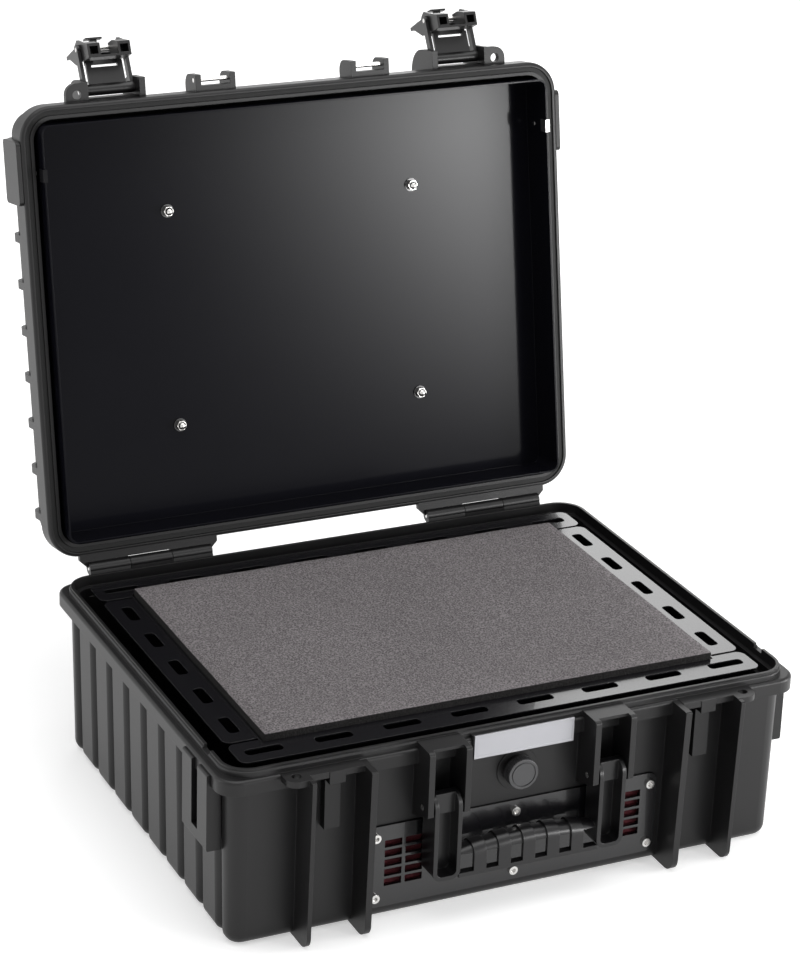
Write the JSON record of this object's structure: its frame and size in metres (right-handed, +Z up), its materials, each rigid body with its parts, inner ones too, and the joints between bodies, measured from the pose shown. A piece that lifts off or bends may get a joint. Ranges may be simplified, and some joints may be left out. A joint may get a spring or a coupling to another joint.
{
  "type": "battery transport case",
  "caption": "Grooved moulded case with a hinged lid, draw latches and a swinging carry handle, around a slotted metal box lined with foam and vented through the front.",
  "frame": {"origin": "middle of the base's underside, midway between the side walls and between the front and rear rim faces", "axes": "+X to the right as seen from the front, +Y towards the hinge at the rear, +Z up"},
  "size_m": [0.521, 0.578, 0.6022],
  "materials": {
    "case_plastic": "fine matt texture",
    "black_sheet": "satin powder coat",
    "bright_steel": "bright",
    "filter_cloth": "coarse",
    "seal_rubber": "matt",
    "bare_aluminium": "satin",
    "grey_foam": "cut foam"
  },
  "bodies": {
    "base": {"base_shell": "case_plastic", "vent_panel": "black_sheet", "vent_filters": "filter_cloth", "vent_backing_plate": "black_sheet", "vent_panel_screws": "bright_steel", "valve_body": "case_plastic", "valve_seal_ring": "seal_rubber", "valve_nut": "case_plastic", "label_plate": "bare_aluminium", "base_strap_brackets": "case_plastic", "hinge_pins": "bright_steel", "inner_box": "black_sheet", "box_spacers": "seal_rubber", "box_screws": "bright_steel", "foam_floor_pad": "grey_foam", "foam_wall_pads": "grey_foam", "handle_pins": "bright_steel"},
    "lid": {"lid_shell": "case_plastic", "lid_seal": "seal_rubber", "lid_liner": "black_sheet", "liner_bolts": "bright_steel", "liner_sealing_washers": "seal_rubber", "liner_washers": "bright_steel", "liner_cap_nuts": "bright_steel", "lid_hook_rods": "bright_steel", "lid_strap_brackets": "case_plastic", "latch_link_pins": "bright_steel", "liner_edge_clips": "bright_steel", "liner_rivets": "bright_steel"},
    "latch_link_left": {"latch_link_left": "case_plastic", "latch_lever_pin_left": "bright_steel"},
    "latch_link_right": {"latch_link_right": "case_plastic", "latch_lever_pin_right": "bright_steel"},
    "latch_lever_left": {"latch_lever_left": "case_plastic"},
    "latch_lever_right": {"latch_lever_right": "case_plastic"},
    "carry_handle": {"carry_handle": "case_plastic"},
    "valve_knob": {"valve_knob": "case_plastic"},
    "foam_top_pad": {"foam_top_pad": "grey_foam"}
  },
  "joints": [
    {"name": "lid_hinge", "type": "hinge", "parent": "base", "child": "lid", "pos_m": [0, 0.2086, 0.1578], "axis": [1, 0, 0], "range_deg": [0, 100]},
    {"name": "handle_swing", "type": "hinge", "parent": "base", "child": "carry_handle", "pos_m": [0, -0.207, 0.105], "axis": [-1, 0, 0], "range_deg": [0, 90]},
    {"name": "valve_turn", "type": "hinge", "parent": "base", "child": "valve_knob", "pos_m": [0, -0.195, 0.1135], "axis": [0, -1, 0], "range_deg": [0, 90]},
    {"name": "foam_pad_lift", "type": "slide", "parent": "base", "child": "foam_top_pad", "axis": [0, 0, -1], "range_m": [-0.12, 0]},
    {"name": "latch_link_left", "type": "hinge", "parent": "lid", "child": "latch_link_left", "pos_m": [-0.1654, 0.30524, 0.56074], "axis": [1, 0, 0], "range_deg": [0, 101.6]},
    {"name": "latch_lever_left", "type": "hinge", "parent": "latch_link_left", "child": "latch_lever_left", "pos_m": [-0.1654, 0.32415, 0.59196], "axis": [-1, 0, 0], "range_deg": [0, 83.3]},
    {"name": "latch_link_right", "type": "hinge", "parent": "lid", "child": "latch_link_right", "pos_m": [0.1654, 0.30524, 0.56074], "axis": [1, 0, 0], "range_deg": [0, 101.6]},
    {"name": "latch_lever_right", "type": "hinge", "parent": "latch_link_right", "child": "latch_lever_right", "pos_m": [0.1654, 0.32415, 0.59196], "axis": [-1, 0, 0], "range_deg": [0, 83.3]}
  ]
}
